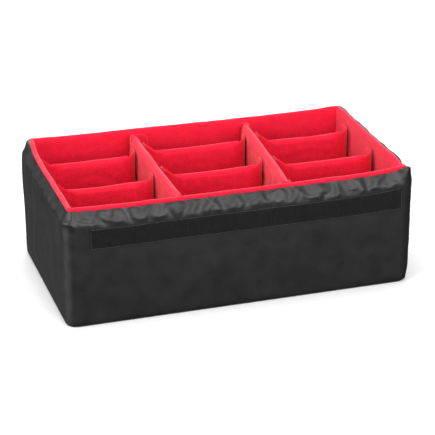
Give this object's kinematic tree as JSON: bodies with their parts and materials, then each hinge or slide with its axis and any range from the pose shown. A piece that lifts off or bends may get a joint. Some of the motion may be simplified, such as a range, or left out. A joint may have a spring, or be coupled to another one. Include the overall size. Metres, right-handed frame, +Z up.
{
  "type": "padded case divider insert",
  "caption": "Open padded box insert for an equipment case, with a brushed-loop lining and lift-out padded dividers held by hook-tape end tabs.",
  "frame": {"origin": "centre of the base, at the surface that the insert stands on", "axes": "+X to the right along the long side, +Y to the back, away from the face with the hook strip, +Z up"},
  "size_m": [0.5, 0.2754, 0.172],
  "materials": {
    "nylon": "black coated woven nylon, slight sheen",
    "loop_cloth": "red brushed loop cloth, soft and fuzzy",
    "foam": "grey closed-cell foam",
    "hook_tape": "black hook tape, matt with fine ribs"
  },
  "bodies": {
    "shell": {"outer_wrap": "nylon", "outer_base_panel": "nylon", "foam_board_base": "foam", "foam_board_front": "foam", "foam_board_back": "foam", "foam_board_left": "foam", "foam_board_right": "foam", "lining_wrap": "loop_cloth", "lining_base_panel": "loop_cloth", "front_hook_strip": "hook_tape"},
    "long_left_divider": {"long_left_cover": "loop_cloth", "long_left_core": "foam"},
    "long_left_front_flap": {"long_left_front_tab": "loop_cloth", "long_left_front_hook": "hook_tape"},
    "long_left_back_flap": {"long_left_back_tab": "loop_cloth", "long_left_back_hook": "hook_tape"},
    "long_right_divider": {"long_right_cover": "loop_cloth", "long_right_core": "foam"},
    "long_right_front_flap": {"long_right_front_tab": "loop_cloth", "long_right_front_hook": "hook_tape"},
    "long_right_back_flap": {"long_right_back_tab": "loop_cloth", "long_right_back_hook": "hook_tape"},
    "cross_left_back_divider": {"cross_left_back_cover": "loop_cloth", "cross_left_back_core": "foam"},
    "cross_left_back_left_flap": {"cross_left_back_left_tab": "loop_cloth", "cross_left_back_left_hook": "hook_tape"},
    "cross_left_back_right_flap": {"cross_left_back_right_tab": "loop_cloth", "cross_left_back_right_hook": "hook_tape"},
    "cross_left_front_divider": {"cross_left_front_cover": "loop_cloth", "cross_left_front_core": "foam"},
    "cross_left_front_left_flap": {"cross_left_front_left_tab": "loop_cloth", "cross_left_front_left_hook": "hook_tape"},
    "cross_left_front_right_flap": {"cross_left_front_right_tab": "loop_cloth", "cross_left_front_right_hook": "hook_tape"},
    "cross_middle_back_divider": {"cross_middle_back_cover": "loop_cloth", "cross_middle_back_core": "foam"},
    "cross_middle_back_left_flap": {"cross_middle_back_left_tab": "loop_cloth", "cross_middle_back_left_hook": "hook_tape"},
    "cross_middle_back_right_flap": {"cross_middle_back_right_tab": "loop_cloth", "cross_middle_back_right_hook": "hook_tape"},
    "cross_middle_front_divider": {"cross_middle_front_cover": "loop_cloth", "cross_middle_front_core": "foam"},
    "cross_middle_front_left_flap": {"cross_middle_front_left_tab": "loop_cloth", "cross_middle_front_left_hook": "hook_tape"},
    "cross_middle_front_right_flap": {"cross_middle_front_right_tab": "loop_cloth", "cross_middle_front_right_hook": "hook_tape"},
    "cross_right_back_divider": {"cross_right_back_cover": "loop_cloth", "cross_right_back_core": "foam"},
    "cross_right_back_left_flap": {"cross_right_back_left_tab": "loop_cloth", "cross_right_back_left_hook": "hook_tape"},
    "cross_right_back_right_flap": {"cross_right_back_right_tab": "loop_cloth", "cross_right_back_right_hook": "hook_tape"},
    "cross_right_front_divider": {"cross_right_front_cover": "loop_cloth", "cross_right_front_core": "foam"},
    "cross_right_front_left_flap": {"cross_right_front_left_tab": "loop_cloth", "cross_right_front_left_hook": "hook_tape"},
    "cross_right_front_right_flap": {"cross_right_front_right_tab": "loop_cloth", "cross_right_front_right_hook": "hook_tape"}
  },
  "joints": [
    {"name": "long_left_lift", "type": "slide", "parent": "shell", "child": "long_left_divider", "axis": [0, 0, 1], "range_m": [0, 0.18]},
    {"name": "long_left_front_peel", "type": "hinge", "parent": "long_left_divider", "child": "long_left_front_flap", "pos_m": [-0.09025, -0.11485, 0.0103], "axis": [0, 0, 1], "range_deg": [0, 50]},
    {"name": "long_left_back_peel", "type": "hinge", "parent": "long_left_divider", "child": "long_left_back_flap", "pos_m": [-0.09025, 0.11635, 0.0103], "axis": [0, 0, -1], "range_deg": [0, 50]},
    {"name": "long_right_lift", "type": "slide", "parent": "shell", "child": "long_right_divider", "axis": [0, 0, 1], "range_m": [0, 0.18]},
    {"name": "long_right_front_peel", "type": "hinge", "parent": "long_right_divider", "child": "long_right_front_flap", "pos_m": [0.07605, -0.11521, 0.0103], "axis": [0, 0, -1], "range_deg": [0, 50]},
    {"name": "long_right_back_peel", "type": "hinge", "parent": "long_right_divider", "child": "long_right_back_flap", "pos_m": [0.09262, 0.11599, 0.0103], "axis": [0, 0, 1], "range_deg": [0, 50]},
    {"name": "cross_left_back_lift", "type": "slide", "parent": "shell", "child": "cross_left_back_divider", "axis": [0, 0, 1], "range_m": [0, 0.18]},
    {"name": "cross_left_back_left_peel", "type": "hinge", "parent": "cross_left_back_divider", "child": "cross_left_back_left_flap", "pos_m": [-0.2226, 0.06605, 0.0103], "axis": [0, 0, -1], "range_deg": [0, 50]},
    {"name": "cross_left_back_right_peel", "type": "hinge", "parent": "cross_left_back_divider", "child": "cross_left_back_right_flap", "pos_m": [-0.10545, 0.06605, 0.0103], "axis": [0, 0, 1], "range_deg": [0, 50]},
    {"name": "cross_left_front_lift", "type": "slide", "parent": "shell", "child": "cross_left_front_divider", "axis": [0, 0, 1], "range_m": [0, 0.18]},
    {"name": "cross_left_front_left_peel", "type": "hinge", "parent": "cross_left_front_divider", "child": "cross_left_front_left_flap", "pos_m": [-0.2226, -0.03095, 0.0103], "axis": [0, 0, -1], "range_deg": [0, 50]},
    {"name": "cross_left_front_right_peel", "type": "hinge", "parent": "cross_left_front_divider", "child": "cross_left_front_right_flap", "pos_m": [-0.10545, -0.03095, 0.0103], "axis": [0, 0, 1], "range_deg": [0, 50]},
    {"name": "cross_middle_back_lift", "type": "slide", "parent": "shell", "child": "cross_middle_back_divider", "axis": [0, 0, 1], "range_m": [0, 0.18]},
    {"name": "cross_middle_back_left_peel", "type": "hinge", "parent": "cross_middle_back_divider", "child": "cross_middle_back_left_flap", "pos_m": [-0.06515, 0.07305, 0.0103], "axis": [0, 0, -1], "range_deg": [0, 50]},
    {"name": "cross_middle_back_right_peel", "type": "hinge", "parent": "cross_middle_back_divider", "child": "cross_middle_back_right_flap", "pos_m": [0.06517, 0.07305, 0.0103], "axis": [0, 0, 1], "range_deg": [0, 50]},
    {"name": "cross_middle_front_lift", "type": "slide", "parent": "shell", "child": "cross_middle_front_divider", "axis": [0, 0, 1], "range_m": [0, 0.18]},
    {"name": "cross_middle_front_left_peel", "type": "hinge", "parent": "cross_middle_front_divider", "child": "cross_middle_front_left_flap", "pos_m": [-0.06515, -0.02345, 0.0103], "axis": [0, 0, -1], "range_deg": [0, 50]},
    {"name": "cross_middle_front_right_peel", "type": "hinge", "parent": "cross_middle_front_divider", "child": "cross_middle_front_right_flap", "pos_m": [0.05825, -0.02345, 0.0103], "axis": [0, 0, 1], "range_deg": [0, 50]},
    {"name": "cross_right_back_lift", "type": "slide", "parent": "shell", "child": "cross_right_back_divider", "axis": [0, 0, 1], "range_m": [0, 0.18]},
    {"name": "cross_right_back_left_peel", "type": "hinge", "parent": "cross_right_back_divider", "child": "cross_right_back_left_flap", "pos_m": [0.10482, 0.06255, 0.0103], "axis": [0, 0, -1], "range_deg": [0, 50]},
    {"name": "cross_right_back_right_peel", "type": "hinge", "parent": "cross_right_back_divider", "child": "cross_right_back_right_flap", "pos_m": [0.2226, 0.06255, 0.0103], "axis": [0, 0, 1], "range_deg": [0, 50]},
    {"name": "cross_right_front_lift", "type": "slide", "parent": "shell", "child": "cross_right_front_divider", "axis": [0, 0, 1], "range_m": [0, 0.18]},
    {"name": "cross_right_front_left_peel", "type": "hinge", "parent": "cross_right_front_divider", "child": "cross_right_front_left_flap", "pos_m": [0.09787, -0.03445, 0.0103], "axis": [0, 0, -1], "range_deg": [0, 50]},
    {"name": "cross_right_front_right_peel", "type": "hinge", "parent": "cross_right_front_divider", "child": "cross_right_front_right_flap", "pos_m": [0.2226, -0.03445, 0.0103], "axis": [0, 0, 1], "range_deg": [0, 50]}
  ]
}
